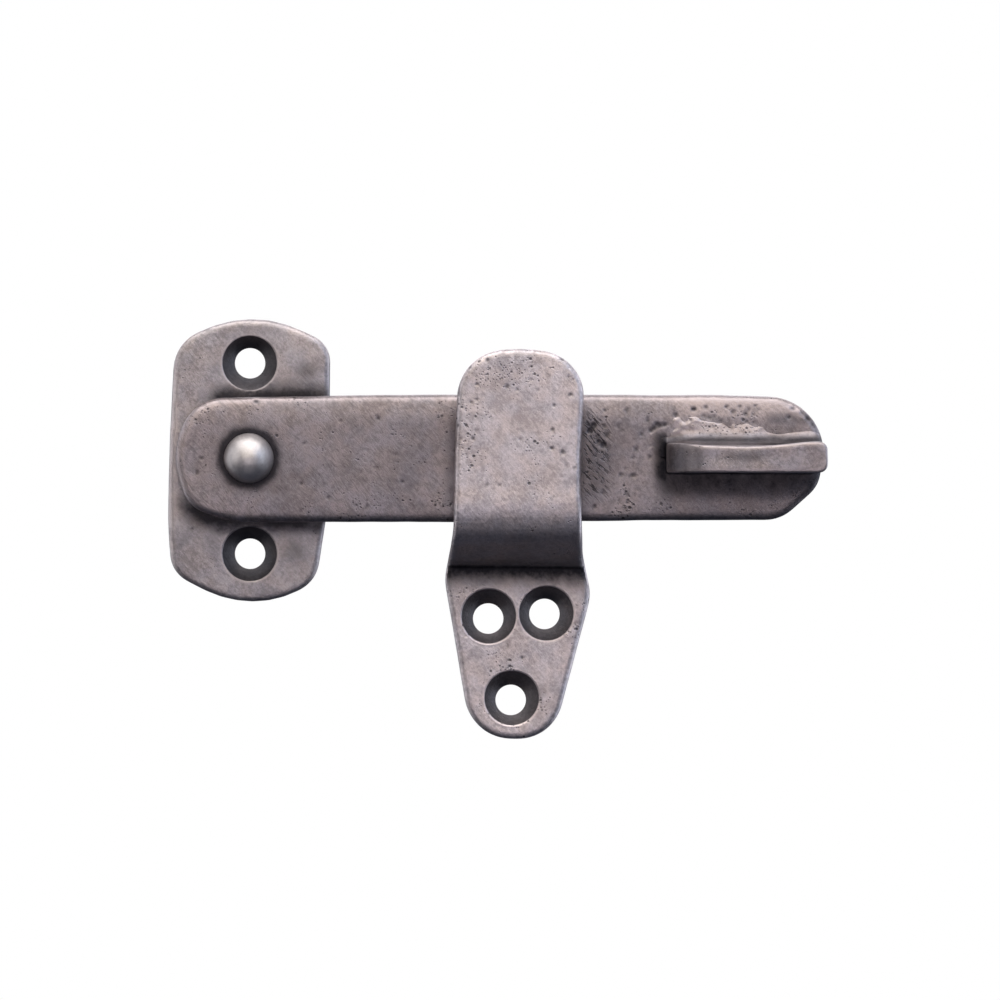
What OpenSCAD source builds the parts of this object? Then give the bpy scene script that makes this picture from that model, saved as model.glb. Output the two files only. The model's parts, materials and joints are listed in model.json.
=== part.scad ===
// Toggle bolt latch for a cabinet or small door, cast in white bronze.
// A drop bar turns on a riveted pivot plate and its free end falls into a hooked keeper.
// Millimetres. +X runs along the bar, +Z is up, the fronts face -Y, and the door face is y = 0.
// The origin is the pivot's axis where it meets the door face.

/* [Screw holes] */
// Radius of each countersunk hole's through bore
hole_r = 2.3; // [2:0.05:3]
// Radius of each countersink at the front face
sink_r = 4.2; // [3.5:0.05:5]
// Full angle of the countersinks
sink_angle = 82; // [80:1:100]

/* [Pivot plate] */
// Width of the plate at its widest
plate_w = 24.4; // [20:0.1:32]
// Height of the plate between the points of its two crowns
plate_h = 45; // [38:0.5:60]
// Thickness of the plate
plate_t = 3.2; // [2.5:0.1:5]
// Height of each screw hole above or below the pivot
plate_screw_z = 14.4; // [12:0.1:20]

/* [Drop bar] */
// Distance from the pivot to the free end
bar_reach = 86.6; // [60:0.1:120]
// Distance from the pivot to the rounded back end
bar_back = 11.7; // [8:0.1:16]
// Height of the bar
bar_h = 19.2; // [14:0.1:24]
// Thickness of the bar
bar_t = 4.8; // [3:0.1:7]
// Rounding of the bar's long edges
bar_edge_r = 1; // [0.4:0.1:2]

/* [Lift tab] */
// Place of the tab's inner end along the bar
tab_x = 62.2; // [50:0.1:80]
// Distance that the tab stands out from the bar's face
tab_out = 11.5; // [6:0.1:20]
// Thickness of the tab
tab_t = 4.45; // [3:0.05:7]
// Height of the tab's middle above the pivot
tab_z = -0.2; // [-4:0.05:4]
// Radius of the fillets along the tab's root
tab_root_r = 3.15; // [1:0.05:5]
// Rounding of the tab's inner front corner
tab_corner_r = 7; // [1:0.1:8]

/* [Pivot rivet] */
// Radius of the rivet's shank
shank_r = 2.38; // [1.5:0.01:4]
// Radius of the domed head
head_r = 3.85; // [3:0.05:6]
// Height of the domed head
head_h = 3.4; // [2:0.05:5]
// Gap all round the shank in the bar's bore
bore_gap = 0.06; // [0.02:0.01:0.1]
// Free play between the washer, the bar and the head, on each side of the bar
end_play = 0.05; // [0.02:0.01:0.2]
// Radius of the peened tail at the plate's back
tail_r = 3.4; // [2.5:0.05:5]
// Depth of the peened tail
tail_h = 1.2; // [0.6:0.05:2]
// Distance that the peened tail stays under the plate's back
tail_under = 0.1; // [0.05:0.05:0.5]

/* [Spacer washer] */
// Radius of the washer between the plate and the bar
washer_r = 6; // [4:0.1:9]
// Thickness of the washer
washer_t = 0.7; // [0.4:0.1:2]

/* [Keeper] */
// Place of the middle of the keeper's strap along the bar
keeper_x = 40.4; // [30:0.1:70]
// Width of the strap
strap_w = 18.8; // [14:0.1:26]
// Thickness of the strap
strap_t = 3.3; // [2:0.1:5]
// Gap between the bar's face and the back of the strap
strap_gap = 1.5; // [0.5:0.1:4]
// Height of the strap's crown above the pivot
strap_top = 16.6; // [12:0.1:24]
// Thickness of the keeper's base
base_t = 3.2; // [2.5:0.1:5]
// Width of the keeper's base at its shoulders
base_w = 22.2; // [18:0.1:30]
// Depth of the keeper's toe under the pivot
base_bottom = 42.4; // [36:0.1:56]
// Height of the corner between the base and the riser
root_z = -16.4; // [-22:0.1:-14]
// Angle through which the strap bends into the riser
bend_angle = 64; // [40:1:75]
// Radius of the outside of that bend
bend_r = 7; // [5:0.1:9]

/* [Hidden] */
$fn = 72;
eps = 0.5;
arc_step = 9;

// Depths in front of the door face.
bar_d = plate_t + washer_t + end_play;
face_d = bar_d + bar_t;
seat_d = face_d + end_play;
strap_d = face_d + strap_gap;
hook_d = strap_d + strap_t;
tab_d = face_d + tab_out;
sink_h = (sink_r - hole_r) / tan(sink_angle / 2);

// Places of the keeper's screw holes, as [x, z].
keeper_holes = [
    [keeper_x - 4.4, -24.2],
    [keeper_x + 4.1, -23.5],
    [keeper_x - 1, -36.5],
];

// Corners of the cast outlines as [x, z, rounding], by hand, so no two sides quite match.
plate_corners = [
    [0.9 - plate_w / 2, plate_h / 2 - 5.2, 6.4],
    [0.1, plate_h / 2 + 0.7, 18],
    [plate_w / 2, plate_h / 2 - 5.2, 4.4],
    [plate_w / 2 - 0.2, -6.4, 24],
    [plate_w / 2 - 2.2, 3.8 - plate_h / 2, 5.4],
    [0.4, -0.9 - plate_h / 2, 15.8],
    [0.2 - plate_w / 2, 5.1 - plate_h / 2, 4.8],
    [-0.3 - plate_w / 2, -8, 40],
    [0.2 - plate_w / 2, 6, 60],
];
bar_corners = [
    [3.3 - bar_back, bar_h / 2 - 0.5, 7],
    [-bar_back, 0.7, 9],
    [2.3 - bar_back, 2.4 - bar_h / 2, 5],
    [8.9 - bar_back, -bar_h / 2, 12],
    [20, -bar_h / 2 - 0.1, 0],
    [bar_reach - 6.6, 0.3 - bar_h / 2, 6],
    [bar_reach - 0.8, -4.1, 5],
    [bar_reach, 2.1, 6],
    [bar_reach - 2.3, bar_h / 2 - 0.4, 8.4],
    [bar_reach - 15.6, bar_h / 2, 50],
    [20, bar_h / 2, 0],
];
keeper_corners = [
    [keeper_x - strap_w / 2 + 0.5, strap_top - 1.1, 7.4],
    [keeper_x + 0.3, strap_top, 18],
    [keeper_x + strap_w / 2 + 0.9, strap_top - 1.2, 7],
    [keeper_x + strap_w / 2 + 0.1, -2, 40],
    [keeper_x + strap_w / 2 + 0.5, root_z + 2, 8],
    [keeper_x + base_w / 2 + 0.1, root_z - 4.2, 6],
    [keeper_x + 5.4, -base_bottom, 7],
    [keeper_x - 7, -base_bottom, 7.2],
    [keeper_x - base_w / 2, root_z - 1.8, 9],
    [keeper_x - strap_w / 2 - 0.2, root_z + 6, 14],
    [keeper_x - strap_w / 2 - 0.1, 0, 40],
];

// Section across the bar, as [depth, z, rounding].
bar_section = [
    [bar_d, bar_h / 2, bar_edge_r],
    [face_d, bar_h / 2, bar_edge_r],
    [face_d, -bar_h / 2 - 0.1, bar_edge_r],
    [bar_d, -bar_h / 2 - 0.1, bar_edge_r],
];
// Plan of the bar, as [x, depth, rounding].
bar_plan = [
    [0.5 - bar_back, bar_d, bar_edge_r],
    [bar_reach - 0.1, bar_d, bar_edge_r],
    [bar_reach - 0.1, face_d, bar_edge_r],
    [0.5 - bar_back, face_d, bar_edge_r],
];

// Section and plan of the lift tab, whose root meets the bar's face.
tab_hi = tab_z + tab_t / 2;
tab_lo = tab_z - tab_t / 2;
tab_section = [
    [face_d, tab_hi + tab_root_r, 0],
    [face_d, tab_hi, tab_root_r],
    [tab_d, tab_hi, 0.5],
    [tab_d, tab_lo, 0.5],
    [face_d, tab_lo, tab_root_r],
    [face_d, tab_lo - tab_root_r, 0],
];
tab_plan = [
    [tab_x, face_d, 0],
    [bar_reach - 0.9, face_d, 0],
    [bar_reach + 0.3, tab_d, 0.8],
    [tab_x, tab_d, tab_corner_r],
];

// Section along the keeper. The riser leans out from the base to the strap.
lean = 1 / tan(bend_angle);
lift = strap_t / sin(bend_angle);
keeper_section = [
    [0, -base_bottom - eps, 0],
    [base_t, -base_bottom - eps, 0],
    [base_t, root_z, 0.3],
    [hook_d, root_z + (hook_d - base_t) * lean, bend_r],
    [hook_d, strap_top + eps, 0],
    [strap_d, strap_top + eps, 0],
    [strap_d, root_z + (strap_d - base_t) * lean + lift, bend_r - strap_t],
    [0, root_z - base_t * lean + lift, 2],
];

function xy(p) = [p[0], p[1]];
function unit(v) = v / norm(v);
function turn_at(c, from, sweep, r, n) = [
    for (i = [0 : n]) c + r * [cos(from + sweep * i / n), sin(from + sweep * i / n)]
];

// The arc that rounds corner p between its neighbours a and b.
function corner_arc(a, p, b) =
    let (
        u = unit(xy(a) - xy(p)),
        v = unit(xy(b) - xy(p)),
        half = acos(u * v) / 2,
        c = xy(p) + unit(u + v) * p[2] / sin(half),
        start = xy(p) + u * p[2] / tan(half) - c,
        sweep = sign(cross(v, u)) * (180 - 2 * half)
    )
    turn_at(c, atan2(start[1], start[0]), sweep, p[2], ceil(abs(sweep) / arc_step));

// A closed outline with every corner rounded by its own radius.
function rounded(p) =
    let (n = len(p))
    [for (i = [0 : n - 1]) each p[i][2] == 0 ? [xy(p[i])]
        : corner_arc(p[(i + n - 1) % n], p[i], p[(i + 1) % n])];

// Front outline, drawn as [x, z], made solid between two depths.
module front_slab(corners, from, to) {
    translate([0, -from, 0])
    rotate([90, 0, 0])
    linear_extrude(to - from)
    polygon(rounded(corners));
}

// Section, drawn as [depth, z], made solid between two places along X.
module side_prism(section, from, to) {
    translate([to, 0, 0])
    rotate([90, 0, -90])
    linear_extrude(to - from)
    polygon(rounded(section));
}

// Plan, drawn as [x, depth], made solid between two heights.
module plan_prism(plan, from, to) {
    mirror([0, 1, 0])
    translate([0, 0, from])
    linear_extrude(to - from)
    polygon(rounded(plan));
}

// Cylinder or cone along the pivot's direction between two depths.
module turned(r1, r2, from, to) {
    translate([0, -from, 0])
    rotate([90, 0, 0])
    cylinder(r1 = r1, r2 = r2, h = to - from);
}

// Countersunk screw hole through a plate of thickness t.
module screw_hole(x, z, t) {
    translate([x, 0, z]) {
        turned(hole_r, hole_r, -eps, t + eps);
        turned(hole_r, sink_r, t - sink_h, t);
        turned(sink_r, sink_r, t, t + eps);
    }
}

// Back plate that screws to the door, with a dished hole for the rivet's tail.
module pivot_plate() {
    color([0.57, 0.54, 0.54])
    difference() {
        front_slab(plate_corners, 0, plate_t);
        screw_hole(0, plate_screw_z, plate_t);
        screw_hole(0, -plate_screw_z, plate_t);
        turned(shank_r + 0.02, shank_r + 0.02, -eps, plate_t + eps);
        turned(tail_r + 0.06, shank_r + 0.02, tail_under, tail_under + tail_h);
        turned(tail_r + 0.06, tail_r + 0.06, -eps, tail_under);
    }
}

// Thin washer that holds the bar off the plate.
module spacer_washer() {
    color([0.62, 0.50, 0.30])
    difference() {
        turned(washer_r, washer_r, plate_t, plate_t + washer_t);
        turned(shank_r + 0.12, shank_r + 0.12, plate_t - eps, plate_t + washer_t + eps);
    }
}

// Drop bar, with the bore that turns on the rivet's shank.
module latch_bar() {
    color([0.50, 0.46, 0.47])
    difference() {
        intersection() {
            front_slab(bar_corners, bar_d - eps, face_d + eps);
            side_prism(bar_section, -bar_back - eps, bar_reach + eps);
            plan_prism(bar_plan, -bar_h, bar_h);
        }
        turned(shank_r + bore_gap, shank_r + bore_gap, bar_d - eps, face_d + eps);
    }
}

// Finger tab brazed across the bar's face at the free end.
module lift_tab() {
    color([0.55, 0.52, 0.53])
    intersection() {
        side_prism(tab_section, tab_x - eps, bar_reach + 1);
        plan_prism(tab_plan, -bar_h, bar_h);
    }
}

// Solid rivet: domed head in front, peened tail sunk in the plate's back.
module pivot_rivet() {
    dome_r = (head_r * head_r + head_h * head_h) / (2 * head_h);
    color([0.72, 0.72, 0.74])
    union() {
        turned(tail_r, shank_r, tail_under, tail_under + tail_h);
        turned(shank_r, shank_r, tail_under + tail_h, seat_d + 0.2);
        intersection() {
            translate([0, -(seat_d + head_h - dome_r), 0])
            sphere(r = dome_r);
            turned(head_r + 1, head_r + 1, seat_d, seat_d + head_h + 1);
        }
    }
}

// Hooked strap that catches the bar, with three screws in its base.
module keeper() {
    color([0.64, 0.60, 0.61])
    difference() {
        intersection() {
            front_slab(keeper_corners, 0, hook_d);
            side_prism(keeper_section, keeper_x - base_w, keeper_x + base_w);
        }
        for (at = keeper_holes) {
            screw_hole(at[0], at[1], base_t);
        }
    }
}

pivot_plate();
spacer_washer();
latch_bar();
lift_tab();
pivot_rivet();
keeper();
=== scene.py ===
import json
import math

import bmesh
import bpy
import numpy as np
import openvdb
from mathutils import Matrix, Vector
from mathutils.bvhtree import BVHTree


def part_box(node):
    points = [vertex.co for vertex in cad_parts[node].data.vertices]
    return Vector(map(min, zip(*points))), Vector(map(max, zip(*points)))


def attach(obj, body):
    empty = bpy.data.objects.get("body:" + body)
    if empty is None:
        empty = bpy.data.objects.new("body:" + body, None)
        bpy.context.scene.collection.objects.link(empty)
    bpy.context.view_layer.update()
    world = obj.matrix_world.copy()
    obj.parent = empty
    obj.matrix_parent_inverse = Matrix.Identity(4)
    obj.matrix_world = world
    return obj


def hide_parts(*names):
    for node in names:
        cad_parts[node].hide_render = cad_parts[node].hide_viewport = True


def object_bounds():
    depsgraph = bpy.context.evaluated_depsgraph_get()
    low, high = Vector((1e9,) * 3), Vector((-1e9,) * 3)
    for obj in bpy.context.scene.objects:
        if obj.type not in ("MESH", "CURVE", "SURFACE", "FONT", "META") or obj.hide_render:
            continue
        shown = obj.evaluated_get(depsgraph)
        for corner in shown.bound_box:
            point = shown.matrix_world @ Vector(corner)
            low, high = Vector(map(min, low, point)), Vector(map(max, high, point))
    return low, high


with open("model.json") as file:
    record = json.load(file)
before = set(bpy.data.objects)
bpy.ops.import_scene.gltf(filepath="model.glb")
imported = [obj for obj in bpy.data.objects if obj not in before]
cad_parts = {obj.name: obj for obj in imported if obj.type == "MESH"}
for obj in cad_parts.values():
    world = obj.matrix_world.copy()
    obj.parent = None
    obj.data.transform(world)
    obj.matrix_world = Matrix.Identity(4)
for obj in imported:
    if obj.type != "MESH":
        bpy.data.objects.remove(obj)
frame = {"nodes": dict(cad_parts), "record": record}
cad_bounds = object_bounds()

# The model is in metres. Shapes below are worked out in millimetres and turned back at the end.
MM = 0.001
rng = np.random.default_rng(504)

# ---------------------------------------------------------------------------
# Places and sizes in millimetres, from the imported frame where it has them.
mounts = {m["name"]: m for m in frame["record"]["mounts"]}


def box_mm(node):
    low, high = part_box(node)
    return np.array(low) / MM, np.array(high) / MM


plate_lo, plate_hi = box_mm("pivot_plate")
bar_lo, bar_hi = box_mm("latch_bar")
tab_lo, tab_hi = box_mm("lift_tab")
keeper_lo, keeper_hi = box_mm("keeper")

plate_face = plate_lo[1]
bar_face = bar_lo[1]
tab_face = tab_lo[1]
hook_face = keeper_lo[1]
hole_r = mounts["plate_screws"]["dims"]["hole_r_mm"]
screw_spacing = mounts["plate_screws"]["dims"]["spacing_y_mm"]
plate_holes = [(0.0, screw_spacing / 2), (0.0, -screw_spacing / 2)]
keeper_holes = [
    (m["pos_m"][0] / MM, m["pos_m"][2] / MM)
    for name, m in sorted(mounts.items())
    if name.startswith("keeper_screw")
]
sink_r = 4.2
sink_half_angle = math.radians(41)
sink_worn = 0.14  # how far the rim of a countersink is rubbed away, in and out
filled_r = sink_r + 0.6  # of the metal put back in a hole before it is cut again
rivet_clear = 6.5  # no pits nearer the pivot than this
plate_bore_r = 2.4
bar_bore_r = 2.44
tail_dish_r = 3.46
base_t = 3.2
base_face = -base_t


# ---------------------------------------------------------------------------
# Cast shapes, as signed distances on a grid: negative inside, in millimetres.
BAND = 9  # voxels each side of the surface
BURIED = 0.5  # how far a part that joins a skin goes on under it
WELD = 0.003  # points closer than this are one
PAST = 1.0  # how far a cutter stands out of the metal


class Casting:
    """A piece's signed distance on a grid. Everything that shapes it adds to dist."""

    def __init__(self, node, voxel, margin=0.8):
        self.voxel = voxel
        self.node = node
        low, high = box_mm(node)
        self.first = np.floor((low - margin) / voxel).astype(int)
        self.shape = tuple(np.ceil((high + margin) / voxel).astype(int) + 1 - self.first)
        axes = [(self.first[i] + np.arange(self.shape[i])) * voxel for i in range(3)]
        self.x = axes[0][:, None, None]
        self.y = axes[1][None, :, None]
        self.z = axes[2][None, None, :]
        mesh = frame["nodes"][node].data
        mesh.calc_loop_triangles()
        points = np.empty(len(mesh.vertices) * 3, np.float32)
        mesh.vertices.foreach_get("co", points)
        tris = np.empty(len(mesh.loop_triangles) * 3, np.int32)
        mesh.loop_triangles.foreach_get("vertices", tris)
        self.dist = self.distance_to(
            points.reshape(-1, 3) / MM, triangles=tris.reshape(-1, 3).astype(np.uint32)
        )
        self.pits = np.zeros(self.shape, np.float32)
        self.solid = self.dist

    def distance_to(self, points, **faces):
        grid = openvdb.FloatGrid.createLevelSetFromPolygons(
            np.ascontiguousarray(points, np.float32),
            transform=openvdb.createLinearTransform(self.voxel),
            halfWidth=BAND,
            **faces,
        )
        out = np.empty(self.shape, np.float32)
        grid.copyToArray(out, ijk=tuple(int(i) for i in self.first))
        return out

    def surface(self, dist, iso=0.0):
        grid = openvdb.FloatGrid(BAND * self.voxel)
        grid.transform = openvdb.createLinearTransform(self.voxel)
        grid.gridClass = openvdb.GridClass.LEVEL_SET
        grid.copyFromArray(
            np.ascontiguousarray(dist, np.float32),
            ijk=tuple(int(i) for i in self.first),
        )
        points, _, quads = grid.convertToPolygons(isovalue=iso, adaptivity=0)
        return points, quads

    def fill_hole(self, x, z, radius, front, back):
        """Puts metal in a hole along Y between two planes."""
        r = np.hypot(self.x - x, self.z - z) - radius
        slab = np.maximum(front - self.y, self.y - back)
        self.dist = np.minimum(self.dist, np.maximum(r, slab))
        self.solid = self.dist

    def round_edges(self, radius):
        """Rounds every outer edge, by wearing the shape in and growing it back out."""
        self.dist = self.distance_to_worn(radius) - radius

    def distance_to_worn(self, radius):
        points, quads = self.surface(self.dist, -radius)
        return self.distance_to(points, quads=quads)

    def blurred(self, sigma):
        reach = int(math.ceil(2.5 * sigma / self.voxel))
        taps = np.exp(-0.5 * (np.arange(-reach, reach + 1) * self.voxel / sigma) ** 2)
        taps = (taps / taps.sum()).astype(np.float32)
        out = self.dist
        for axis in range(3):
            pad = [(0, 0)] * 3
            pad[axis] = (reach, reach)
            wide = np.moveaxis(np.pad(out, pad, mode="edge"), axis, 0)
            n = self.shape[axis]
            out = np.moveaxis(sum(t * wide[k : k + n] for k, t in enumerate(taps)), 0, axis)
        return out

    def soften(self, sigma, share):
        """Mixes in a blurred copy, which gives the edges the soft shoulders of a casting."""
        self.dist = (1 - share) * self.dist + share * self.blurred(sigma)

    def crown(self, face, drop):
        """Makes the front fall away from a plane at `face` by `drop` mm."""
        self.dist = np.maximum(self.dist, face + drop - self.y).astype(np.float32)

    def roughen(self, *layers):
        """Uneven skin: each layer is (height, bump size), and none stands past the CAD solid."""
        limit = self.solid
        self.dist = self.dist + sum(height * self.noise(size) for height, size in layers)
        self.dist = np.maximum(self.dist, limit)

    def noise(self, feature):
        """A smooth random field of unit spread, with bumps about `feature` mm across."""
        cells = [int(math.ceil(n * self.voxel / feature)) + 4 for n in self.shape]
        field = rng.standard_normal(cells).astype(np.float32)
        for axis, n in enumerate(self.shape):
            at = np.arange(n) * self.voxel / feature
            cell = np.floor(at).astype(int)
            f = (at - cell).astype(np.float32)
            weights = (
                (1 - f) ** 3 / 6,
                (3 * f**3 - 6 * f**2 + 4) / 6,
                (-3 * f**3 + 3 * f**2 + 3 * f + 1) / 6,
                f**3 / 6,
            )
            field = np.moveaxis(field, axis, 0)
            field = sum(w[:, None, None] * field[cell + k] for k, w in enumerate(weights))
            field = np.moveaxis(field, 0, axis)
        return field / field.std()

    def front_at(self, x, z):
        """Y of the front surface over a place, or None where there is no metal."""
        i = int(round(x / self.voxel)) - self.first[0]
        k = int(round(z / self.voxel)) - self.first[2]
        if not (0 <= i < self.shape[0] and 0 <= k < self.shape[2]):
            return None
        column = self.dist[i, :, k]
        inside = np.nonzero(column < 0)[0]
        if len(inside) == 0 or inside[0] == 0:
            return None
        j = inside[0]
        part = column[j - 1] / (column[j - 1] - column[j])
        return (self.first[1] + j - 1 + part) * self.voxel

    def window(self, centre, reach):
        lo = np.floor((np.array(centre) - reach) / self.voxel).astype(int) - self.first
        hi = np.ceil((np.array(centre) + reach) / self.voxel).astype(int) - self.first
        lo, hi = np.maximum(lo, 0), np.minimum(hi + 1, self.shape)
        return tuple(slice(a, max(a, b)) for a, b in zip(lo, hi))

    def dent(self, centre, radius, depth, stretch=(1, 1, 1), dirty=True):
        """A smooth hollow, which holds grime as a casting pit does unless it isn't `dirty`."""
        w = self.window(centre, 2.2 * radius * max(stretch))
        d2 = (
            ((self.x[w[0]] - centre[0]) / stretch[0]) ** 2
            + ((self.y[:, w[1]] - centre[1]) / stretch[1]) ** 2
            + ((self.z[:, :, w[2]] - centre[2]) / stretch[2]) ** 2
        )
        bump = depth * np.exp(-d2 / radius**2)
        self.dist[w] += bump
        if dirty:
            self.pits[w] += bump

    def pit_cloud(self, count, x_range, z_range, size, depth, spread=None):
        """Casting pits over a part of the front, denser in chance clusters."""
        for _ in range(count):
            x, z = rng.uniform(*x_range), rng.uniform(*z_range)
            if spread:
                x = rng.normal(np.mean(x_range), spread * np.ptp(x_range) / 2)
                z = rng.normal(np.mean(z_range), spread * np.ptp(z_range) / 2)
            radius = rng.uniform(*size)
            y = self.front_at(x, z)
            if y is not None and math.hypot(x, z) > rivet_clear:
                long = rng.uniform(1.0, 1.5)
                turn = (long, 1, 1) if rng.random() < 0.5 else (1, 1, long)
                self.dent((x, y, z), radius, depth * rng.uniform(0.5, 1.2), turn)

    def resampled(self, other, field=None):
        """One of this piece's fields, dist if none is named, on another piece's grid."""
        x, y, z = np.broadcast_arrays(other.x, other.y, other.z)
        points = np.column_stack([x.ravel(), y.ravel(), z.ravel()])
        return self.sample(self.dist if field is None else field, points).reshape(other.shape)

    def blend_into(self, skin, radius, within):
        """Fillets this piece onto another's skin, and ends it just under that skin.

        radius: of the fillet, which stays where `within` is negative.
        """
        gap = 0.05
        spread = 1.15 * radius
        core = self.dist
        filleted = np.maximum(round_union(core, skin + gap, radius), within)
        buried = np.maximum(-BURIED - skin, core - spread)
        self.dist = np.maximum(np.minimum(core, filleted), buried)

    def sample(self, field, points):
        """Values of a grid field at points, by trilinear steps."""
        at = points / self.voxel - self.first
        cell = np.clip(np.floor(at).astype(int), 0, np.array(self.shape) - 2)
        f = np.clip(at - cell, 0, 1)
        out = np.zeros(len(points), np.float32)
        for corner in np.ndindex(2, 2, 2):
            w = np.prod([f[:, a] if corner[a] else 1 - f[:, a] for a in range(3)], axis=0)
            c = cell + corner
            out += w * field[c[:, 0], c[:, 1], c[:, 2]]
        return out

    def bend(self, points, sigma, full):
        """How hollow the surface is, or how sharp an edge where `full` is negative: 0 to 1."""
        return np.clip(self.sample(self.dist - self.blurred(sigma), points) / full, 0, 1)

    def mesh(self, name):
        points, quads = self.surface(self.dist)
        return solid_object(name, (points * MM).tolist(), quads.tolist())


def round_union(a, b, radius):
    """The union of two distance fields, with a round fillet between them."""
    corner = np.hypot(np.maximum(radius - a, 0), np.maximum(radius - b, 0))
    return np.maximum(radius, np.minimum(a, b)) - corner


def smooth_step(value, low, high):
    t = np.clip((value - low) / (high - low), 0, 1)
    return t * t * (3 - 2 * t)


def signed_volume(data):
    data.calc_loop_triangles()
    co = np.empty(len(data.vertices) * 3)
    data.vertices.foreach_get("co", co)
    tri = np.empty(len(data.loop_triangles) * 3, np.int32)
    data.loop_triangles.foreach_get("vertices", tri)
    a, b, c = np.moveaxis(co.reshape(-1, 3)[tri.reshape(-1, 3)], 1, 0)
    return float(np.einsum("ij,ij->", a, np.cross(b, c)) / 6)


def solid_object(name, verts, faces):
    """A new object, its faces turned outwards."""
    data = bpy.data.meshes.new(name)
    data.from_pydata(verts, [], faces)
    data.update()
    obj = bpy.data.objects.new(name, data)
    bpy.context.scene.collection.objects.link(obj)
    if signed_volume(data) < 0:
        data.flip_normals()
    return obj


# ---------------------------------------------------------------------------
# Turned shapes: a profile of (radius, y) about an axis along Y.
def turned(name, profile, x=0.0, z=0.0, steps=128):
    verts, faces = [], []
    for radius, y in profile:
        for s in range(steps):
            a = 2 * math.pi * s / steps
            verts.append((x + radius * math.cos(a), y, z + radius * math.sin(a)))
    for ring in range(len(profile) - 1):
        for s in range(steps):
            n = (s + 1) % steps
            a, b = ring * steps, (ring + 1) * steps
            faces.append((a + s, a + n, b + n, b + s))
    faces.append(tuple(reversed(range(steps))))
    faces.append(tuple(range((len(profile) - 1) * steps, len(profile) * steps)))
    return solid_object(name, [tuple(c * MM for c in v) for v in verts], faces)


def cut(obj, tools):
    """Takes the tools out of the object, and removes them."""
    for tool in tools:
        mod = obj.modifiers.new("cut", "BOOLEAN")
        mod.operation = "DIFFERENCE"
        mod.solver = "MANIFOLD"
        mod.object = tool
    bpy.context.view_layer.update()
    graph = bpy.context.evaluated_depsgraph_get()
    data = bpy.data.meshes.new_from_object(obj.evaluated_get(graph))
    obj.modifiers.clear()
    obj.data = data
    for tool in tools:
        bpy.data.objects.remove(tool)


def largest_part(mesh):
    """The faces of the connected part that has the most of them."""
    best = []
    waiting = set(mesh.faces)
    while waiting:
        part = [waiting.pop()]
        for face in part:
            for edge in face.edges:
                near = [other for other in edge.link_faces if other in waiting]
                waiting.difference_update(near)
                part.extend(near)
        if len(part) > len(best):
            best = part
    return best


def flaps(mesh):
    """Faces that lie back to back on the same points, so that they enclose nothing."""
    by_points = {}
    for face in mesh.faces:
        by_points.setdefault(frozenset(face.verts), []).append(face)
    return [face for group in by_points.values() if len(group) > 1 for face in group]


def clean(data):
    """Welds the slivers that a cut leaves, and drops flaps and whatever isn't joined on.

    The faces are split into triangles first, since that is what shows up a flap.
    """
    mesh = bmesh.new()
    mesh.from_mesh(data)
    bmesh.ops.remove_doubles(mesh, verts=mesh.verts, dist=WELD * MM)
    bmesh.ops.dissolve_degenerate(mesh, edges=mesh.edges, dist=WELD * MM)
    bmesh.ops.triangulate(mesh, faces=mesh.faces)
    bmesh.ops.delete(mesh, geom=flaps(mesh), context="FACES")
    kept = set(largest_part(mesh))
    bmesh.ops.delete(mesh, geom=[f for f in mesh.faces if f not in kept], context="FACES")
    mesh.to_mesh(data)
    mesh.free()


def countersink_tools(x, z, sink, face):
    """Cutters for a screw hole at x and z, and its countersink, centred a little away at `sink`.

    The countersink's rim is rubbed slightly round.
    """
    front = face - 1.5
    bore = turned("tool", [(hole_r, PAST), (hole_r, front)], x, z)
    tip_r = hole_r - 0.3
    profile = [(tip_r, face + (sink_r - tip_r) / math.tan(sink_half_angle))]
    start = face + sink_worn / math.tan(sink_half_angle)
    profile.append((sink_r - sink_worn, start))
    for step in (0.35, 0.7, 1.0):
        rim_y = face + (start - face) * (1 - step) ** 1.6 - 0.01
        profile.append((sink_r + sink_worn * (2 * step - 1), rim_y))
    profile.append((sink_r + sink_worn + 0.1, front))
    return [bore, turned("tool", profile, *sink)]


def rim_level(casting, x, z):
    """Y of the face round a screw hole, as the median of places just outside its rim."""
    ring_r = 4.4
    places = 16
    levels = []
    for step in range(places):
        a = 2 * math.pi * step / places
        y = casting.front_at(x + ring_r * math.cos(a), z + ring_r * math.sin(a))
        if y is not None:
            levels.append(y)
    return float(np.median(levels))


def point_coords(data):
    co = np.empty(len(data.vertices) * 3, np.float32)
    data.vertices.foreach_get("co", co)
    return co.reshape(-1, 3) / MM


def put_attribute(data, name, values):
    attribute = data.attributes.new(name, "FLOAT", "POINT")
    attribute.data.foreach_set("value", np.ascontiguousarray(values, np.float32))


def nearness(points, nodes, reach):
    """1 where a point touches one of the nodes, falling to 0 at `reach` mm."""
    best = np.full(len(points), reach, np.float32)
    for node in nodes:
        mesh = frame["nodes"][node].data
        mesh.calc_loop_triangles()
        tree = BVHTree.FromPolygons(
            [v.co / MM for v in mesh.vertices],
            [tuple(t.vertices) for t in mesh.loop_triangles],
        )
        for i, p in enumerate(points):
            hit = tree.find_nearest(Vector(p), float(best[i]))
            if hit[3] is not None:
                best[i] = hit[3]
    return 1 - best / reach


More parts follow.
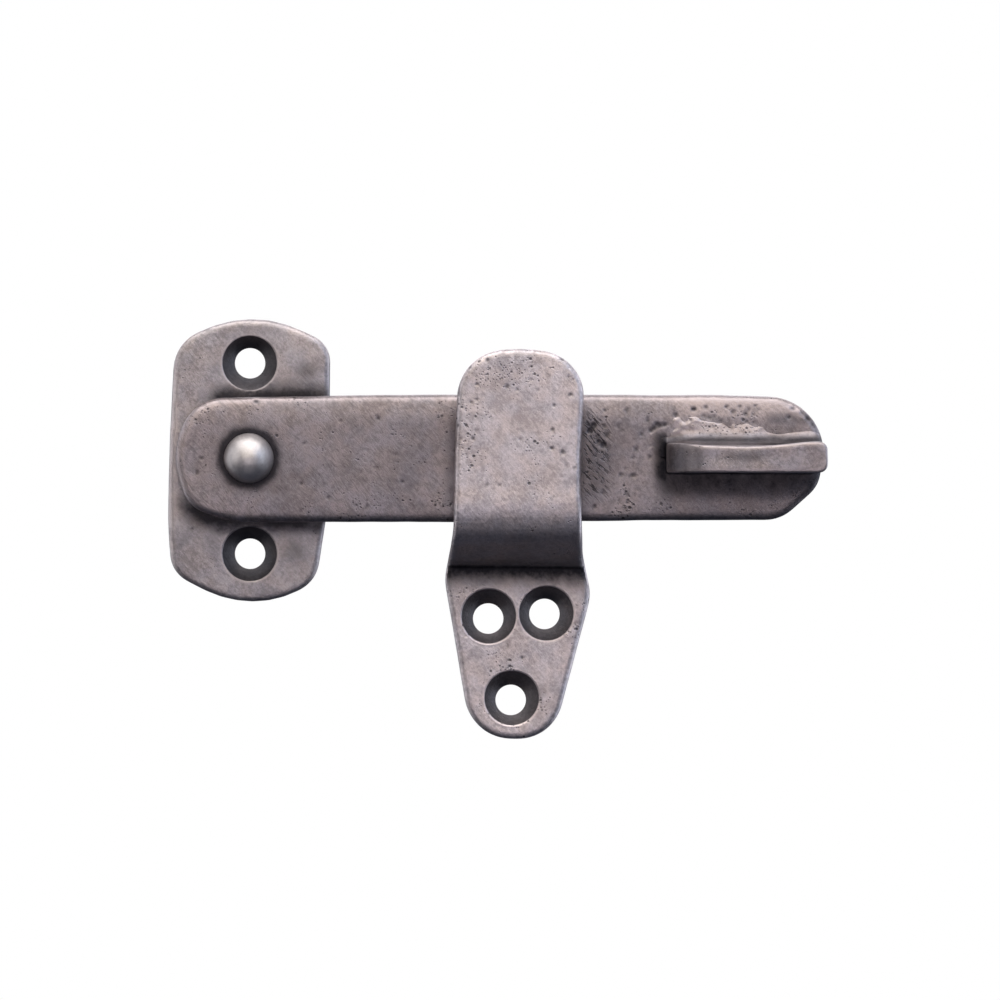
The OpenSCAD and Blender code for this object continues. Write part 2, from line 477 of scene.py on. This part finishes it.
def finish_casting(
    casting,
    name,
    body,
    material,
    near,
    holes=(),
    sink_off=(),
    bore=None,
    marks=None,
    weights=None,
    reach=2.6,
):
    """Meshes a casting, cuts its holes and writes what its material reads at each point.

    near: the CAD nodes that shade it, within `reach` mm. marks: more values, as functions of x, y
    and z in mm. weights: functions that scale contact and wear_and_highlight over the piece.
    sink_off: how far each countersink's centre is from its hole's.
    """
    obj = casting.mesh(name)
    rims = [rim_level(casting, x, z) for x, z in holes]
    tools = []
    offsets = sink_off or [(0, 0)] * len(holes)
    sinks = [(x + off[0], z + off[1]) for (x, z), off in zip(holes, offsets)]
    for (x, z), sink, rim in zip(holes, sinks, rims):
        tools += countersink_tools(x, z, sink, rim)
    if bore:
        tools.append(turned("tool", bore))
    if tools:
        cut(obj, tools)
    clean(obj.data)
    data = obj.data
    points = point_coords(data)
    deep_pit = 0.12
    put_attribute(data, "pit", np.clip(casting.sample(casting.pits, points) / deep_pit, 0, 1))
    measured = {
        "contact": nearness(points, near, reach),
        "hollow": casting.bend(points, 1.1, 0.30),
        "wear_and_highlight": casting.bend(points, 0.45, -0.20),
    }
    for value, rule in (weights or {}).items():
        measured[value] = measured[value] * rule(*points.T)
    for value, amounts in measured.items():
        put_attribute(data, value, amounts)
    recess, lip = np.zeros((2, len(points)), np.float32)
    for (x, z), rim in zip(sinks, rims):
        out = np.hypot(points[:, 0] - x, points[:, 2] - z) - sink_r
        depth = points[:, 1]
        recess = np.maximum(recess, (out < 0.02) & (depth > rim + 0.1) & (depth < -0.3))
        lip = np.maximum(lip, np.exp(-(((out - 0.05) / 0.16) ** 2)) * (depth < rim + 0.5))
    put_attribute(data, "recess", recess)
    put_attribute(data, "lip", lip)
    for mark, rule in (marks or {}).items():
        put_attribute(data, mark, np.clip(rule(*points.T), 0, 1))
    data.polygons.foreach_set("use_smooth", np.ones(len(data.polygons), bool))
    data.set_sharp_from_angle(angle=math.radians(42))
    data.materials.clear()
    data.materials.append(material)
    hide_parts(casting.node)
    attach(obj, body)
    print(name, len(data.polygons), "faces")
    return obj


# ---------------------------------------------------------------------------
# Materials.
class Graph:
    """A short way to write shader nodes: each call makes one node and links its inputs."""

    def __init__(self, material):
        material.use_nodes = True
        self.tree = material.node_tree
        self.tree.nodes.clear()

    def node(self, kind, inputs=None, **settings):
        made = self.tree.nodes.new("ShaderNode" + kind)
        for key, value in settings.items():
            setattr(made, key, value)
        for key, value in (inputs or {}).items():
            socket = made.inputs[key]
            if isinstance(value, bpy.types.NodeSocket):
                self.tree.links.new(value, socket)
            else:
                socket.default_value = value
        return made

    def maths(self, operation, a, b=0.0, clamp=False):
        return self.node("Math", {0: a, 1: b}, operation=operation, use_clamp=clamp).outputs[0]

    def total(self, *terms, clamp=False):
        """The sum of (value, share) pairs."""
        out = 0.0
        for value, share in terms:
            wanted = {0: value, 1: share, 2: out}
            out = self.node("Math", wanted, operation="MULTIPLY_ADD").outputs[0]
        return self.maths("ADD", out, 0.0, clamp) if clamp else out

    def ramp(self, value, low, high):
        """0 below `low` and 1 above `high`, smooth between. Either may be the greater."""
        wanted = {"Value": value, "From Min": low, "From Max": high}
        return self.node("MapRange", wanted, interpolation_type="SMOOTHSTEP").outputs[0]

    def attribute(self, name):
        return self.node("Attribute", attribute_name=name).outputs["Fac"]

    def noise(self, place, scale, detail, roughness=0.5):
        """Noise about zero, near plus or minus a half at most."""
        wanted = {"Vector": place, "Scale": scale, "Detail": detail, "Roughness": roughness}
        return self.maths("SUBTRACT", self.node("TexNoise", wanted).outputs["Fac"], 0.5)

    def mix(self, share, a, b):
        """Colour a where share is 0 and b where it is 1. Sockets 6, 7 and 2 are the colours'."""
        made = self.node("Mix", {0: share}, data_type="RGBA")
        for index, value in ((6, a), (7, b)):
            if isinstance(value, bpy.types.NodeSocket):
                self.tree.links.new(value, made.inputs[index])
            else:
                made.inputs[index].default_value = (*value, 1)
        return made.outputs[2]

    def mapping(self, place, scale=(1, 1, 1), turn=0.0):
        """A place scaled and then turned about the front's normal."""
        wanted = {"Vector": place, "Scale": scale, "Rotation": (0, turn, 0)}
        return self.node("Mapping", wanted).outputs["Vector"]

    def millimetres(self):
        return self.mapping(self.node("TexCoord").outputs["Object"], (1 / MM, 1 / MM, 1 / MM))

    def pinholes(self, place, scale, radius, crowd):
        """1 in the middle of small round holes, which are found only where `crowd` is high."""
        cells = self.node("TexVoronoi", {"Vector": place, "Scale": scale}, feature="F1")
        size = self.maths("MULTIPLY", crowd, radius * scale)
        part = self.maths("DIVIDE", cells.outputs["Distance"], self.maths("MAXIMUM", size, 0.001))
        return self.ramp(part, 1.0, 0.45)

    def surface(self, **inputs):
        wanted = {k.replace("_", " "): v for k, v in inputs.items()}
        shader = self.node("BsdfPrincipled", wanted)
        out = self.node("OutputMaterial", {"Surface": shader.outputs[0]})
        return out


# The dark colour of painted shade and shadow, and of the real patina in pits and file marks.
SHADE_AND_PATINA = (0.016, 0.015, 0.019)


def cast_bronze(name, tone, rough, mottle, pitting, edge_brightening, stains=0.0):
    """White bronze as it comes from the mould: satin, mottled, and painted darker in its recesses
    and near other pieces, where shade falls.

    The castings' own values, all 0 to 1: contact (near another piece), shade_and_soot (painted shade
    and shadow in other dark places, and smudges), hollow and wear_and_highlight (inner and outer
    corners), braze_and_highlight (bare braze, and painted highlights), pit, recess and lip (screw
    holes), pitted (more pinholes) and scored (slanting file marks).
    """
    material = bpy.data.materials.new(name)
    g = Graph(material)
    place = g.millimetres()
    broad = g.noise(place, 0.14, 2.0)
    cloud = g.noise(place, 0.55, 3.0, 0.6)
    grain = g.noise(place, 1.9, 4.0, 0.7)
    speck = g.noise(place, 6.0, 2.0, 0.5)
    slant = g.mapping(g.mapping(place, turn=math.radians(-48)), (0.36, 1, 1.7))
    strokes = g.noise(slant, 1.5, 3.0, 0.6)
    shade = g.total(
        (broad, 1.4), (cloud, 1.7), (grain, 3.0), (strokes, 0.9), (0.5, 1.0), clamp=True
    )
    warm = [c * w for c, w in zip(tone, (1.02, 0.995, 0.975))]
    cool = [c * w for c, w in zip(tone, (0.98, 1.0, 1.03))]
    hue = g.ramp(g.noise(place, 0.3, 2.0), -0.15, 0.15)
    light = g.mix(hue, [c * (1 + mottle) for c in warm], [c * (1 + mottle) for c in cool])
    dull = g.mix(hue, [c * (1 - mottle) for c in warm], [c * (1 - mottle) for c in cool])
    colour = g.mix(shade, dull, light)
    # Outer edges, bare braze and the braze_and_highlight marks are lighter: partly real rubbing,
    # partly painted highlight where the light catches them.
    wear_and_highlight = g.total((g.attribute("wear_and_highlight"), edge_brightening), (g.attribute("braze_and_highlight"), 0.8), (grain, 0.6))
    wear_and_highlight = g.total((g.ramp(wear_and_highlight, 0.2, 0.9), 0.5), (g.attribute("lip"), 0.45), clamp=True)
    colour = g.mix(wear_and_highlight, colour, [min(1, c * w) for c, w in zip(tone, (1.75, 1.68, 1.6))])

    crowd = g.ramp(g.total((g.noise(place, 0.22, 2.0), 1.0), (cloud, 0.7)), 0.0, 0.22)
    crowd = g.maths("MAXIMUM", crowd, g.attribute("pitted"))
    crowd = g.maths("MULTIPLY", crowd, pitting)
    pins = g.pinholes(place, 0.9, 0.34, crowd)
    fine = g.pinholes(place, 2.1, 0.18, crowd)
    holes = g.maths("MAXIMUM", pins, g.maths("MULTIPLY", fine, 0.75))
    # Painted shade: darker near other pieces and in inner corners, broken up by the mottling noise.
    close = g.maths("POWER", g.attribute("contact"), 1.6)
    shade_and_grime = g.total((close, 1.5), (g.attribute("hollow"), 0.7), (cloud, 0.9), (grain, 0.5))
    shade_and_grime = g.maths("MULTIPLY", g.ramp(shade_and_grime, 0.12, 1.15), 0.92)
    # Painted shade and shadow from the shade_and_soot marks, with real smudges among them.
    shade_and_soot = g.total((g.attribute("shade_and_soot"), 1.0), (cloud, 0.5), (grain, 0.3))
    shade_and_grime = g.maths("MAXIMUM", shade_and_grime, g.ramp(shade_and_soot, 0.05, 1.0))
    if stains:
        spots = g.ramp(g.total((g.noise(place, 0.28, 3.0, 0.6), 1.0), (grain, 0.2)), 0.06, 0.24)
        shade_and_grime = g.maths("MAXIMUM", shade_and_grime, g.maths("MULTIPLY", spots, stains))
    # Pinholes, pits and the inside of each countersink are darker too.
    dark = g.maths("MAXIMUM", shade_and_grime, g.maths("MULTIPLY", holes, 0.72))
    dark = g.maths("MAXIMUM", dark, g.maths("MULTIPLY", g.attribute("pit"), 0.8))
    dark = g.maths("MAXIMUM", dark, g.maths("MULTIPLY", g.attribute("recess"), 0.79))
    marks = g.ramp(g.total((strokes, 1.0), (grain, 0.35)), -0.01, 0.11)
    marks = g.maths("MULTIPLY", marks, g.attribute("scored"))
    dark = g.maths("MAXIMUM", dark, g.maths("MULTIPLY", marks, 0.85))
    colour = g.mix(dark, colour, SHADE_AND_PATINA)
    height = g.total((grain, 0.8), (speck, 0.3), (strokes, 0.7), (holes, -1.1), (marks, -1.0))
    finish = g.total((grain, 0.22), (dark, 0.10), (rough, 1.0))
    bump = g.node("Bump", {"Height": height, "Strength": 0.7, "Distance": 0.00007})
    g.surface(
        Base_Color=colour, Metallic=1.0, Roughness=finish, Normal=bump.outputs["Normal"]
    )
    return material


def worn_metal(name, tone, rough, bump_mm):
    """Smooth wrought metal with faint handling marks, painted darker where it touches another piece.
    """
    material = bpy.data.materials.new(name)
    g = Graph(material)
    place = g.millimetres()
    broad = g.noise(place, 0.5, 3.0, 0.6)
    fine = g.noise(place, 3.5, 3.0, 0.6)
    shade = g.total((broad, 2.0), (fine, 1.5), (0.5, 1.0), clamp=True)
    colour = g.mix(shade, [c * 0.88 for c in tone], [min(1, c * 1.12) for c in tone])
    # Painted shade where another piece stands close.
    close = g.ramp(g.attribute("contact"), 0.72, 1.0)
    colour = g.mix(close, colour, SHADE_AND_PATINA)
    finish = g.total((fine, 0.16), (rough, 1.0))
    bump = g.node("Bump", {"Height": fine, "Strength": 0.5, "Distance": bump_mm * MM})
    g.surface(
        Base_Color=colour, Metallic=1.0, Roughness=finish, Normal=bump.outputs["Normal"]
    )
    return material


# Each piece has its own copy, the keeper's lighter and the bar's darker than the plate's.
bronze = {
    "plate": cast_bronze("bronze_plate", (0.33, 0.30, 0.31), 0.46, 0.24, 0.5, 1.0, 0.35),
    "bar": cast_bronze("bronze_bar", (0.25, 0.22, 0.23), 0.44, 0.28, 1.0, 0.45, 0.2),
    "tab": cast_bronze("bronze_tab", (0.26, 0.233, 0.245), 0.42, 0.26, 0.8, 1.3),
    "keeper": cast_bronze("bronze_keeper", (0.48, 0.43, 0.44), 0.46, 0.24, 1.0, 0.5, 0.3),
}
steel = worn_metal("rivet_steel", (0.48, 0.45, 0.45), 0.47, 0.03)
strip = worn_metal("washer_bronze", (0.36, 0.27, 0.15), 0.42, 0.02)

# ---------------------------------------------------------------------------
# Pivot plate. Its middle hole is dished at the back for the rivet's tail.
plate = Casting("pivot_plate", 0.2)
for x, z in plate_holes:
    plate.fill_hole(x, z, filled_r, plate_face, 0.0)
plate.fill_hole(0.0, 0.0, 4.2, plate_face, 0.0)
plate.crown(plate_face, 0.3 * (plate.z / plate_hi[2]) ** 2 + 0.12 * (plate.x / plate_hi[0]) ** 2)
plate.round_edges(0.65)
plate.soften(0.35, 0.5)
plate.dist += 0.05
plate.roughen((0.040, 5.0), (0.010, 1.6))
plate_x, plate_z = (plate_lo[0] + 1, plate_hi[0] - 1), (plate_lo[2] + 1, plate_hi[2] - 1)
plate.pit_cloud(10, plate_x, plate_z, (0.16, 0.22), 0.12)
plate_bore = [
    (plate_bore_r, -6.0),
    (plate_bore_r, -1.3),
    (tail_dish_r, -0.1),
    (tail_dish_r, PAST),
]


def shadow_and_patina_by_bar(x, y, z):
    """How much the darkening near the bar shows: a painted shadow below the bar, dark patina above
    it, and none at the plate's left edge.
    """
    below = smooth_step(-z, 2.0, 8.0)
    above = smooth_step(z, 5.0, 9.0) * smooth_step(x, -9.0, -4.0)
    return np.maximum(below, above)


def smudges(x, y, z):
    """Two dull patches, at the upper and lower right."""
    upper = 0.50 * np.exp(-(((x - 8.6) / 2.4) ** 2) - ((z - 13.2) / 2.0) ** 2)
    lower = 0.45 * np.exp(-(((x - 7.0) / 2.6) ** 2) - ((z + 14.0) / 2.8) ** 2)
    return np.maximum(upper, lower) * (y < plate_face + 0.6)


def edge_strip_light(x, y, z):
    """Painted light on the strip of plate left of the bar."""
    return 0.9 * (1 - smooth_step(x, -11.6, -9.6)) * np.exp(-((z / 12.0) ** 4))


finish_casting(
    plate,
    "plate_casting",
    "fixed",
    bronze["plate"],
    ["latch_bar"],
    plate_holes,
    bore=plate_bore,
    marks={"shade_and_soot": smudges, "braze_and_highlight": edge_strip_light},
    weights={"contact": shadow_and_patina_by_bar},
    reach=4.4,
)

# ---------------------------------------------------------------------------
# Drop bar. Its face is slightly crowned, so that it rolls off to its long edges.
bar = Casting("latch_bar", 0.22)
bar.fill_hole(0.0, 0.0, 3.3, bar_face, bar_hi[1])
edge_fall = np.clip((np.abs(bar.z) - 5.0) / 4.6, 0, 1) ** 2
bar.crown(bar_face + 0.05, np.where(bar.z > 0, 0.55, 0.26) * edge_fall)
bar.round_edges(0.9)
bar.soften(0.5, 0.5)
bar.dist += 0.04
bar.roughen((0.035, 6.0), (0.012, 1.8))
corner_dents = [(84.3, 6.3, 0.5, 0.35), (85.0, 5.3, 0.4, 0.25), (83.4, 6.9, 0.3, 0.2)]
deep_pits = [(61.0, 4.6), (61.8, 4.9), (61.4, 5.2), (62.5, 5.1), (60.5, 4.2), (64.2, 6.6)]
for x, z, radius, depth in corner_dents:
    bar.dent((x, bar_face + 0.3, z), radius, depth)
for x, z in deep_pits:
    bar.dent((x, bar_face, z), 0.30, 0.34)
bar.pit_cloud(12, (50.8, 54.0), (1.8, 5.6), (0.24, 0.38), 0.22)
bar.pit_cloud(24, (51.5, 60.5), (-7.5, 7.5), (0.19, 0.30), 0.16)
bar.pit_cloud(22, (66.0, 82.0), (5.4, 8.0), (0.18, 0.26), 0.16)
bar.pit_cloud(26, (bar_lo[0] + 1, 30.0), (bar_lo[2] + 1, bar_hi[2] - 1), (0.18, 0.30), 0.15)
bar_bore = [(bar_bore_r, -10.0), (bar_bore_r, -2.0)]
bar_front_ends = bar_face + 1.2  # marks on the front go no deeper than this
scored_x = 51.8  # middle of the scored patch beside the hook
scored_half = 2.6
tab_top, tab_bottom = 1.95, -2.25
tab_left = tab_lo[0] + 0.6


def tab_shade_and_band(x, y, z):
    """Painted shade and shadow round the root of the tab, most of it under the tab and at its left
    end, and a darker band across the middle of its face.
    """
    side = np.maximum(tab_left + 0.4 - x, 0)
    below = np.maximum(tab_bottom - z, 0)
    above = np.maximum(z - tab_top, 0)
    under = 0.75 * np.exp(-(np.hypot(below / 4.6, side / 2.5) ** 3) - (above / 0.9) ** 2)
    over = 0.72 * np.exp(-(((z - 2.8) / 0.9) ** 2) - side**2)
    corner = 0.95 * np.exp(-(np.hypot(side / 2.6, below / 1.8) ** 3.5) - (above / 2.2) ** 4)
    corner = corner * smooth_step(side, 0.0, 0.5)
    right = 0.40 * smooth_step(x, 76.5, 79.0) * np.exp(-(((z - 6.0) / 1.1) ** 4))
    root = np.maximum(np.maximum(under, over), np.maximum(corner, right))
    root = root * smooth_step(y, bar_face - 3.5, bar_face - 0.7) * (y < bar_front_ends)
    end = 0.70 * np.exp(-((np.maximum(x - tab_left, 0) / 5.0) ** 2.4)) * (y < bar_face - 0.7)
    end = end * (0.55 + 0.45 * smooth_step(x - tab_left, 0.5, 3.0))
    mid_face_band = 0.48 * np.exp(-(((x - 74.0) / 3.6) ** 4) - ((z - 0.1) / 0.9) ** 2)
    return np.maximum(np.maximum(root, end), mid_face_band * (y < tab_face + 1.0))


def bar_shade_and_grime(x, y, z):
    """The tab's painted shade, a darker patch beside the hook, partly painted shade and partly
    grime, and the tab's painted shadow over the lower right end.
    """
    beside = 0.42 * np.exp(-(((x - scored_x) / scored_half) ** 2) - ((z + 1.5) / 6.0) ** 4)
    lower = 0.30 * smooth_step(x, 58.0, 64.0) * smooth_step(-z, 3.0, 6.0)
    return np.maximum(tab_shade_and_band(x, y, z), np.maximum(beside, lower) * (y < bar_front_ends))


def file_marks(x, y, z):
    """The scored patch on the bar just past the hook, and fainter ones towards the pivot."""
    patch = 1.4 * np.exp(-(((x - scored_x) / scored_half) ** 2) - ((z - 0.5) / 6.8) ** 4)
    return np.maximum(patch, 0.30 * (x < 30.0)) * (y < bar_front_ends)


def end_highlight(x, y, z):
    """Painted highlight: the pivot end, and the top edge over the tab, a little brighter."""
    pivot_end = 0.5 * (1 - smooth_step(x, -3.0, 7.0))
    over_tab = 0.9 * smooth_step(x, 62.0, 68.0) * smooth_step(z, 5.4, 6.8)
    return np.maximum(pivot_end, over_tab) * (y < bar_face + 1.0)


def bar_contact_shade(x, y, z):
    """How strongly the painted shade near other pieces shows: full by the keeper, and less round the
    rivet.
    """
    away = np.hypot(x, z)
    round_rivet = 0.62 + 0.33 * np.exp(-(((away - 3.9) / 1.3) ** 2))
    return np.where(away < 12.0, round_rivet, 1.0)


def rim_highlight(x, y, z):
    """Painted highlight on the rubbed edges: strong on the top edge and the pivot end, where the
    light catches them, and none on the long lower edge, left in shade.
    """
    bright = (z > 6.0) | (x < -4.0)
    return np.where(bright, 4.0, np.where(z > -6.0, 1.0, 0.0))


finish_casting(
    bar,
    "bar_casting",
    "bar",
    bronze["bar"],
    ["keeper", "pivot_rivet"],
    bore=bar_bore,
    marks={"shade_and_soot": bar_shade_and_grime, "scored": file_marks, "braze_and_highlight": end_highlight},
    weights={"wear_and_highlight": rim_highlight, "contact": bar_contact_shade},
)

# ---------------------------------------------------------------------------
# Finger tab. Its ends curve back and are a little thicker than its middle, its free corners
# are round, and its root fillets onto the bar's face under a ragged line of braze.
nose_r = 7.0
free_corner_r = 1.2
tab = Casting("lift_tab", 0.14, 2.2)
swell = 0.35 * (1 - smooth_step(tab.x, 63.2, 69.0)) + 0.50 * smooth_step(tab.x, 78.0, 85.0)
height = np.maximum(tab.z - tab_top - swell, tab_bottom - tab.z)
right = tab.x - tab_hi[0] + 0.10 * (tab.y - tab_face)
front = tab_face - tab.y
slab = np.maximum(np.maximum(height, tab_left - tab.x), front)
ahead = (tab.x < tab_left + nose_r) & (tab.y < tab_face + nose_r)
nose = np.hypot(tab.x - tab_left - nose_r, tab.y - tab_face - nose_r) - nose_r
slab = np.where(ahead, np.maximum(slab, nose), slab)
across = np.maximum(right + free_corner_r, 0)
up = np.maximum(height + free_corner_r, 0)
tab.dist = np.maximum(slab, np.hypot(across, up) - free_corner_r).astype(np.float32)
tab.dist = np.maximum(tab.dist, tab.y - bar_face - 0.4)
tab.soften(0.30, 0.7)
tab.solid = tab.dist
tab.dent((73.5, tab_face, 0.7), 3.0, 0.19, (1.5, 1.0, 0.75), dirty=False)
tab.roughen((0.045, 4.0), (0.014, 1.2))
skin = np.maximum(bar.resampled(tab), bar_face - tab.y)
middle_layer = int(round((bar_face + bar_hi[1]) / 2 / bar.voxel)) - bar.first[1]
outline = np.repeat(bar.dist[:, middle_layer : middle_layer + 1], bar.shape[1], axis=1)
outline = bar.resampled(tab, outline) + 0.15
root_r = 1.2 + 1.8 * smooth_step(tab.x, 63.0, 67.5) - 0.9 * smooth_step(tab.x, 76.0, 80.0)
root_r = np.where(tab.z > 0, root_r, 0.5)
tab.blend_into(skin, root_r, outline)


bead_thins = (66.5, 71.0)  # x where the bead starts and stops getting thinner


def bead_line(x):
    """Height and half width of the bead, which runs out thin and low to the right."""
    thin = smooth_step(x, *bead_thins)
    return 4.5 - 0.5 * thin, 1.05 - 0.5 * thin


bead_z, bead_half = bead_line(tab.x)
bead_x = np.clip(tab.x, 65.0 - 0.5 * (tab.z - bead_z), 76.5)
ragged = 0.08 * tab.noise(2.0) + 0.22 * tab.noise(0.8)
bead = np.hypot(tab.x - bead_x, tab.z - bead_z - ragged)
lumps = 0.035 * tab.noise(0.9) + 0.040 * tab.noise(0.45)
bead = skin - 0.06 * (1 - (bead / bead_half) ** 2) - lumps * (bead < bead_half + 0.5)
bead = np.maximum(bead, -BURIED - skin)
tab.dist = round_union(tab.dist, bead, 0.35)


def braze_and_sheen(x, y, z):
    """The bead is bare metal, brightest where it is thick, and its pale band is also a painted
    highlight on the fillet under it.
    """
    line, half = bead_line(x)
    along = np.exp(-(((z - line) / (half + 0.1)) ** 4) - ((x - 71.0) / 8.0) ** 6)
    pale = 0.75 - 0.45 * smooth_step(x, *bead_thins)
    return pale * along * (y > bar_face - 1.2)


def braze_pits(x, y, z):
    """Gas holes in the bead and just over it."""
    return 1.2 * np.exp(-(((z - 4.8) / 1.5) ** 4) - ((x - 72.0) / 6.5) ** 4) * (y > bar_face - 1.2)


finish_casting(
    tab,
    "tab_casting",
    "bar",
    bronze["tab"],
    [],
    marks={"braze_and_highlight": braze_and_sheen, "shade_and_soot": tab_shade_and_band, "pitted": braze_pits},
)

# ---------------------------------------------------------------------------
# Keeper. A low ridge crosses it just above the bend.
keeper = Casting("keeper", 0.2)
for x, z in keeper_holes:
    keeper.fill_hole(x, z, filled_r, base_face, 0.0)
keeper.round_edges(0.65)
keeper.soften(0.35, 0.5)
ridge = 0.06 * np.exp(-(((keeper.z + 6.4) / 1.4) ** 2)) * (keeper.y < hook_face + 1.2)
keeper.dist += 0.08 - ridge
keeper.roughen((0.030, 6.0), (0.008, 1.6))
strap_x, strap_z = (keeper_lo[0] + 2, keeper_hi[0] - 2), (-6.0, keeper_hi[2] - 1.5)
keeper.pit_cloud(14, strap_x, (8.0, keeper_hi[2] - 1.5), (0.18, 0.26), 0.15)
keeper.pit_cloud(14, strap_x, strap_z, (0.18, 0.28), 0.15)
keeper.pit_cloud(9, strap_x, (keeper_lo[2] + 2, -20.0), (0.18, 0.26), 0.15)
corner_z = -16.4
keeper_middle = (keeper_lo[0] + keeper_hi[0]) / 2


def corner_shade(x, y, z):
    """Painted shade in the corner between the riser and the base, and on the lower riser."""
    down = corner_z - z - 0.01 * (x - keeper_middle)
    on_base = 0.98 * np.exp(-((np.maximum(down, 0) / 3.4) ** 1.7))
    on_riser = 0.85 * np.exp(-((np.maximum(-down, 0) / 0.4) ** 2))
    on_riser = np.maximum(on_riser, 0.36 * smooth_step(-z, 9.5, 12.0))
    return np.where(down > 0, on_base, on_riser) * (y < base_face + 0.4)


def crown_pits(x, y, z):
    """Pinholes gather over the top of the hook and down its left edge."""
    top = np.exp(-(((z - 12.5) / 3.2) ** 2) - ((x - 38.0) / 6.5) ** 2)
    left = np.exp(-(((x - 32.5) / 1.8) ** 2) - ((z - 4.0) / 8.0) ** 2)
    return np.maximum(top, left) * (y < hook_face + 0.5)


# Left, right and toe, in the order of their mounts' names.
keeper_sink_off = [(0.10, 0.38), (0.28, 0.12), (0.16, 0.34)]
finish_casting(
    keeper,
    "keeper_casting",
    "fixed",
    bronze["keeper"],
    ["latch_bar"],
    keeper_holes,
    sink_off=keeper_sink_off,
    marks={"shade_and_soot": corner_shade, "pitted": crown_pits},
)

# ---------------------------------------------------------------------------
# Rivet and washer.
rivet = Casting("pivot_rivet", 0.1, 0.4)
rivet.soften(0.22, 0.5)
rivet.dist += 0.02
rivet.roughen((0.030, 2.2), (0.006, 0.8))
finish_casting(rivet, "rivet_turned", "fixed", steel, ["latch_bar"])

washer = Casting("spacer_washer", 0.11, 0.4)
washer.soften(0.2, 0.5)
washer.dist += 0.01
finish_casting(washer, "washer_stamped", "fixed", strip, ["latch_bar"])

# ---------------------------------------------------------------------------
# Stage, lights and camera.
lowest, highest = np.array(cad_bounds[0]), np.array(cad_bounds[1])
middle = (lowest + highest) / 2
aim_right, aim_up = 0.0006, 0.0044  # the camera aims a little off the middle
subject = Vector((middle[0] + aim_right, 0.0, middle[2] + aim_up))


def material_plain(name, colour, rough, glow):
    """A flat colour with a little light of its own, so that it stays pale away from the lamps."""
    material = bpy.data.materials.new(name)
    g = Graph(material)
    paint = (*colour, 1)
    g.surface(Base_Color=paint, Roughness=rough, Emission_Color=(1, 1, 1, 1), Emission_Strength=glow)
    return material


def area_light(name, azimuth, elevation, distance, size, power, colour):
    """A softbox that faces the object. Azimuth 0 is in front of it, and 90 to its right."""
    data = bpy.data.lights.new(name, "AREA")
    data.shape = "RECTANGLE"
    data.size, data.size_y = size
    data.energy = power
    data.color = colour
    lamp = bpy.data.objects.new(name, data)
    a, e = math.radians(azimuth), math.radians(elevation)
    away = Vector((math.sin(a) * math.cos(e), -math.cos(a) * math.cos(e), math.sin(e)))
    lamp.location = subject + away * distance
    lamp.rotation_euler = away.to_track_quat("Z", "Y").to_euler()
    lamp.visible_camera = False
    bpy.context.scene.collection.objects.link(lamp)


area_light("sky", -6, 74, 0.85, (1.4, 0.50), 8.5, (1.0, 0.98, 0.95))
area_light("key", -6, 46, 0.95, (0.9, 0.35), 2.5, (1.0, 0.98, 0.93))
area_light("high", 0, 24, 1.00, (0.9, 0.30), 2.6, (1.0, 0.90, 0.76))
area_light("low", 0, -10, 1.20, (0.8, 0.30), 1.8, (1.0, 0.93, 0.98))
area_light("right", 38, 26, 0.90, (0.3, 0.5), 1.0, (0.50, 0.68, 1.0))
area_light("under", 0, -52, 1.00, (0.8, 0.30), 0.3, (0.95, 0.95, 1.0))
area_light("side_left", -64, 8, 0.80, (0.22, 0.7), 1.3, (1.0, 0.97, 0.96))
area_light("side_right", 64, 8, 0.80, (0.22, 0.7), 1.3, (0.80, 0.88, 1.0))
area_light("edge_left", -108, 2, 0.80, (0.5, 1.1), 2.6, (0.95, 0.97, 1.0))
area_light("edge_right", 108, 2, 0.80, (0.5, 1.1), 4.2, (0.80, 0.88, 1.0))
area_light("behind", 180, 38, 0.90, (1.4, 0.9), 7.5, (1.0, 0.98, 1.0))

data = bpy.data.meshes.new("floor")
half = 2.5
level = lowest[2] - 0.35
corners = [(-half, -half, level), (half, -half, level), (half, half, level), (-half, half, level)]
data.from_pydata(corners, [], [(0, 1, 2, 3)])
floor = bpy.data.objects.new("floor", data)
bpy.context.scene.collection.objects.link(floor)
floor.data.materials.append(material_plain("floor_pale", (0.30, 0.30, 0.30), 0.9, 0.72))
floor.visible_glossy = False
floor.visible_diffuse = False

world = bpy.data.worlds.new("studio")
bpy.context.scene.world = world
world.use_nodes = True
tree = world.node_tree
tree.nodes.clear()
path = tree.nodes.new("ShaderNodeLightPath")
seen = tree.nodes.new("ShaderNodeBackground")
seen.inputs["Color"].default_value = (1, 1, 1, 1)
dim = tree.nodes.new("ShaderNodeBackground")
dim.inputs["Color"].default_value = (0.046, 0.053, 0.076, 1)
pick = tree.nodes.new("ShaderNodeMixShader")
out = tree.nodes.new("ShaderNodeOutputWorld")
tree.links.new(path.outputs["Is Camera Ray"], pick.inputs[0])
tree.links.new(dim.outputs[0], pick.inputs[1])
tree.links.new(seen.outputs[0], pick.inputs[2])
tree.links.new(pick.outputs[0], out.inputs["Surface"])
bpy.context.scene.view_settings.view_transform = "Standard"

# A long lens square on to the latch.
camera_distance = 1.5
field_width = 0.15126
sensor_width = 36.0
camera_data = bpy.data.cameras.new("camera")
camera_data.sensor_width = sensor_width
camera_data.lens = sensor_width * camera_distance / field_width
camera = bpy.data.objects.new("camera", camera_data)
camera.location = subject + Vector((0, -camera_distance, 0))
camera.rotation_euler = (math.radians(90), 0, 0)
bpy.context.scene.collection.objects.link(camera)
bpy.context.scene.camera = camera
